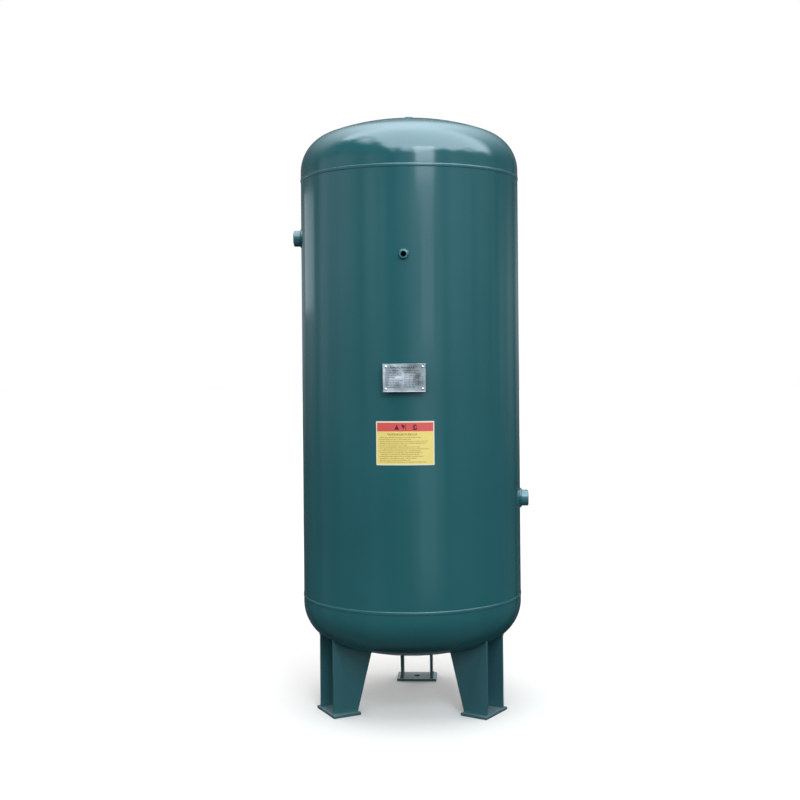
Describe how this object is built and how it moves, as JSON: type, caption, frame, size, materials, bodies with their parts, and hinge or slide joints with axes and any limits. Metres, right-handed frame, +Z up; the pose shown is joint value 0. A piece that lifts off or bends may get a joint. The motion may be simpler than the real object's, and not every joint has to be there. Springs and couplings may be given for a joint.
{
  "type": "air receiver tank",
  "caption": "Upright welded steel air receiver: rolled shell, dished heads, threaded sockets, standing nameplate and paired-plate legs for floor anchors.",
  "frame": {"origin": "centre of the three anchor holes, on the vessel's axis at floor level", "axes": "+Z up along the vessel's axis, -Y towards the nameplate, +X towards the inlet"},
  "size_m": [0.874, 0.8395, 2.191],
  "materials": {
    "vessel_enamel": "gloss",
    "enamelled_weld": "gloss",
    "leg_enamel": "semi-gloss",
    "bare_steel": "mill",
    "nameplate_aluminium": "satin",
    "rivet_aluminium": "satin",
    "label_film": "satin"
  },
  "bodies": {
    "root": {"shell": "vessel_enamel", "shell_seam_weld": "enamelled_weld", "top_head": "vessel_enamel", "bottom_head": "vessel_enamel", "top_girth_weld": "enamelled_weld", "bottom_girth_weld": "enamelled_weld", "closing_backing_ring": "bare_steel", "outlet_socket": "vessel_enamel", "outlet_socket_weld": "enamelled_weld", "inlet_socket": "vessel_enamel", "inlet_socket_weld": "enamelled_weld", "gauge_socket": "vessel_enamel", "gauge_socket_weld": "enamelled_weld", "relief_socket": "vessel_enamel", "relief_socket_weld": "enamelled_weld", "drain_socket": "vessel_enamel", "drain_socket_weld": "enamelled_weld", "nameplate_bracket": "vessel_enamel", "bracket_weld": "enamelled_weld", "nameplate": "nameplate_aluminium", "nameplate_rivets": "rivet_aluminium", "caution_label": "label_film", "left_leg_front_cheek": "leg_enamel", "left_leg_rear_cheek": "leg_enamel", "left_foot_plate": "leg_enamel", "left_leg_weld": "enamelled_weld", "left_foot_weld": "enamelled_weld", "right_leg_front_cheek": "leg_enamel", "right_leg_rear_cheek": "leg_enamel", "right_foot_plate": "leg_enamel", "right_leg_weld": "enamelled_weld", "right_foot_weld": "enamelled_weld", "rear_leg_left_cheek": "leg_enamel", "rear_leg_right_cheek": "leg_enamel", "rear_foot_plate": "leg_enamel", "rear_leg_weld": "enamelled_weld", "rear_foot_weld": "enamelled_weld"}
  },
  "joints": []
}
